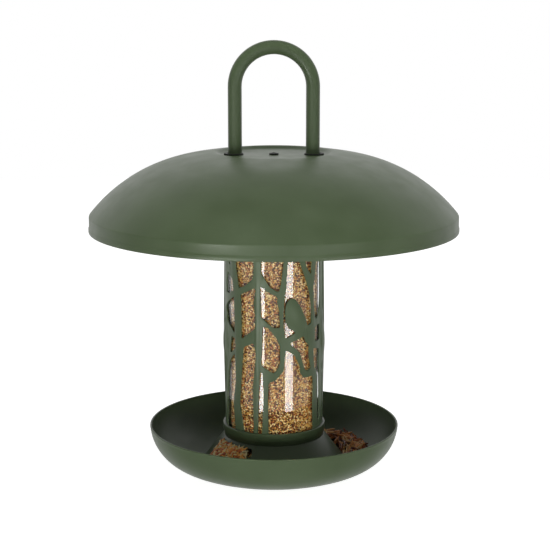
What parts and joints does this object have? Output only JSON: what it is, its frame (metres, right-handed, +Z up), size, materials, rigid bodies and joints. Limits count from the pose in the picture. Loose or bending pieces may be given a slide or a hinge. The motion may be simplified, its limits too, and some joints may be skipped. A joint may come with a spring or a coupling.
{
  "type": "bird feeder",
  "caption": "Hanging bird feeder with a domed roof, a clear seed tube in a cut-out branch casing, a round dish and a looped handle.",
  "frame": {"origin": "middle of the dish's flat foot, on the surface that the feeder stands on", "axes": "+Z up along the tube, +X to the right in the picture, the picture is taken from -Y"},
  "size_m": [0.2504, 0.2504, 0.2967],
  "materials": {
    "green_paint": "satin dark green powder coat",
    "clear_plastic": "clear polished plastic",
    "zinc_steel": "bright zinc plating",
    "black_rubber": "matt black-green rubber",
    "seed_mix": "loose small tan, gold and red-brown seed",
    "orange_grain": "loose orange-brown grain",
    "dried_worm": "loose dried mealworms"
  },
  "bodies": {
    "feeder": {"dish": "green_paint", "port_base": "green_paint", "seed_cone": "green_paint", "dish_bolt": "zinc_steel", "dish_nut": "zinc_steel", "base_collar": "green_paint", "collar_screw_1": "zinc_steel", "collar_screw_2": "zinc_steel", "collar_screw_3": "zinc_steel", "seed_tube": "clear_plastic", "branch_casing": "green_paint", "mouth_ring": "green_paint", "handle_bridge": "green_paint", "ring_screw_1": "zinc_steel", "ring_screw_2": "zinc_steel", "ring_screw_3": "zinc_steel", "ring_screw_4": "zinc_steel", "handle_hoop": "green_paint", "leg_plug_left": "zinc_steel", "leg_plug_right": "zinc_steel", "leg_screw_left": "zinc_steel", "leg_screw_right": "zinc_steel", "seed_column": "seed_mix", "grain_heap": "orange_grain", "mealworm_heap": "dried_worm"},
    "roof": {"roof_dome": "green_paint", "lid_cup": "green_paint", "lid_screw": "zinc_steel", "lid_nut": "zinc_steel", "guide_ring_left": "black_rubber", "guide_ring_right": "black_rubber"}
  },
  "joints": [
    {"name": "roof_lift", "type": "slide", "parent": "feeder", "child": "roof", "axis": [0, 0, 1], "range_m": [0, 0.04]}
  ]
}
